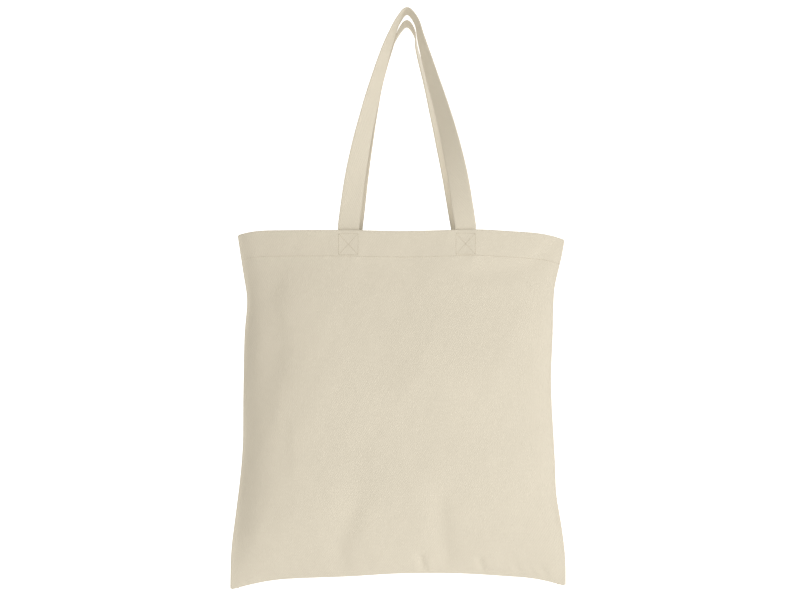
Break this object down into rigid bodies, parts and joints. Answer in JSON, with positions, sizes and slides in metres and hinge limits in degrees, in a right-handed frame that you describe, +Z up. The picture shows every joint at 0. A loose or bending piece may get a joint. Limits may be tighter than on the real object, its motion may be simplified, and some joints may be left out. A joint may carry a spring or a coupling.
{
  "type": "canvas tote bag",
  "caption": "Flat cotton canvas tote bag with a turned hem and long strap handles, hanging from a peg, for carrying books and shopping.",
  "frame": {"origin": "on the middle plane, level with the underside of the front handle's crown, where a peg carries the bag", "axes": "+Z up, +X to the right seen from the front, +Y from the front panel to the back panel"},
  "size_m": [0.389, 0.065, 0.6682],
  "materials": {
    "canvas": "matte",
    "strap": "matte",
    "thread": "matte"
  },
  "bodies": {
    "root": {"back_handle_left_end": "strap", "back_handle_right_end": "strap", "back_hem_thread": "thread", "back_left_box_thread": "thread", "back_panel": "canvas", "back_right_box_thread": "thread", "bottom_overlock_thread": "thread", "bottom_seam_thread": "thread", "front_handle_left_end": "strap", "front_handle_right_end": "strap", "front_hem_thread": "thread", "front_left_box_thread": "thread", "front_panel": "canvas", "front_right_box_thread": "thread", "left_overlock_thread": "thread", "left_seam_thread": "thread", "right_overlock_thread": "thread", "right_seam_thread": "thread"},
    "front_handle": {"front_handle": "strap"},
    "back_handle": {"back_handle": "strap"}
  },
  "joints": [
    {"name": "front_handle_swing", "type": "hinge", "parent": "root", "child": "front_handle", "pos_m": [0, -0.01724, -0.245], "axis": [1, 0, 0], "range_deg": [0, 150]},
    {"name": "back_handle_swing", "type": "hinge", "parent": "root", "child": "back_handle", "pos_m": [0, 0.01724, -0.245], "axis": [-1, 0, 0], "range_deg": [0, 150]}
  ]
}
